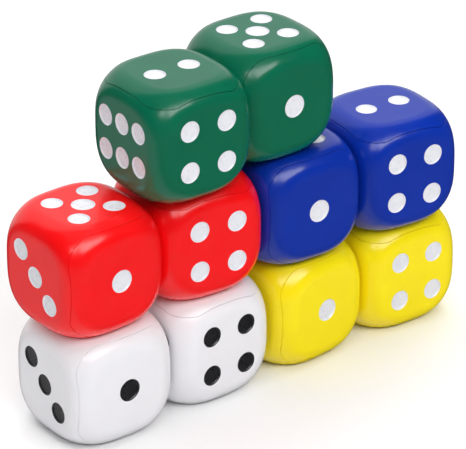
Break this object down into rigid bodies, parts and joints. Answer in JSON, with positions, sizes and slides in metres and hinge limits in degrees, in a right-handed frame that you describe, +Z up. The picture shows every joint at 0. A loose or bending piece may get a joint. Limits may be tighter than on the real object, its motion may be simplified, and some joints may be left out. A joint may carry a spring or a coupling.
{
  "type": "giant yard dice",
  "caption": "Big soft-edged plastic dice for lawn games, in paired colours with painted dished pips, stacked as a wall that comes apart die by die.",
  "frame": {"origin": "on the ground, at the middle of the wall's footprint", "axes": "+X along the wall of dice, towards the end that is two dice high; +Y to the wall's back; +Z up"},
  "size_m": [0.3802, 0.1072, 0.2706],
  "materials": {
    "green_plastic": "satin moulded plastic",
    "red_plastic": "satin moulded plastic",
    "blue_plastic": "satin moulded plastic",
    "yellow_plastic": "satin moulded plastic",
    "white_plastic": "satin moulded plastic"
  },
  "bodies": {
    "white_right_die": {"white_right_shell": "white_plastic", "white_right_cap": "white_plastic"},
    "white_left_die": {"white_left_shell": "white_plastic", "white_left_cap": "white_plastic"},
    "yellow_left_die": {"yellow_left_shell": "yellow_plastic", "yellow_left_cap": "yellow_plastic"},
    "yellow_right_die": {"yellow_right_shell": "yellow_plastic", "yellow_right_cap": "yellow_plastic"},
    "red_left_die": {"red_left_shell": "red_plastic", "red_left_cap": "red_plastic"},
    "red_right_die": {"red_right_shell": "red_plastic", "red_right_cap": "red_plastic"},
    "blue_left_die": {"blue_left_shell": "blue_plastic", "blue_left_cap": "blue_plastic"},
    "blue_right_die": {"blue_right_shell": "blue_plastic", "blue_right_cap": "blue_plastic"},
    "green_left_die": {"green_left_shell": "green_plastic", "green_left_cap": "green_plastic"},
    "green_right_die": {"green_right_shell": "green_plastic", "green_right_cap": "green_plastic"}
  },
  "joints": [
    {"name": "white_left_draws_out", "type": "slide", "parent": "white_right_die", "child": "white_left_die", "axis": [-1, 0, 0], "range_m": [0, 0.12]},
    {"name": "red_left_draws_out", "type": "slide", "parent": "white_left_die", "child": "red_left_die", "axis": [-1, 0, 0], "range_m": [0, 0.12]},
    {"name": "red_right_draws_out", "type": "slide", "parent": "white_right_die", "child": "red_right_die", "axis": [0, -1, 0], "range_m": [0, 0.12]},
    {"name": "green_left_lifts_off", "type": "slide", "parent": "red_right_die", "child": "green_left_die", "axis": [0, 0, 1], "range_m": [0, 0.12]},
    {"name": "yellow_left_draws_out", "type": "slide", "parent": "white_right_die", "child": "yellow_left_die", "axis": [0, -1, 0], "range_m": [0, 0.12]},
    {"name": "blue_left_draws_out", "type": "slide", "parent": "yellow_left_die", "child": "blue_left_die", "axis": [0, -1, 0], "range_m": [0, 0.12]},
    {"name": "green_right_lifts_off", "type": "slide", "parent": "blue_left_die", "child": "green_right_die", "axis": [0, 0, 1], "range_m": [0, 0.12]},
    {"name": "yellow_right_draws_out", "type": "slide", "parent": "white_right_die", "child": "yellow_right_die", "axis": [1, 0, 0], "range_m": [0, 0.12]},
    {"name": "blue_right_lifts_off", "type": "slide", "parent": "yellow_right_die", "child": "blue_right_die", "axis": [0, 0, 1], "range_m": [0, 0.12]}
  ]
}
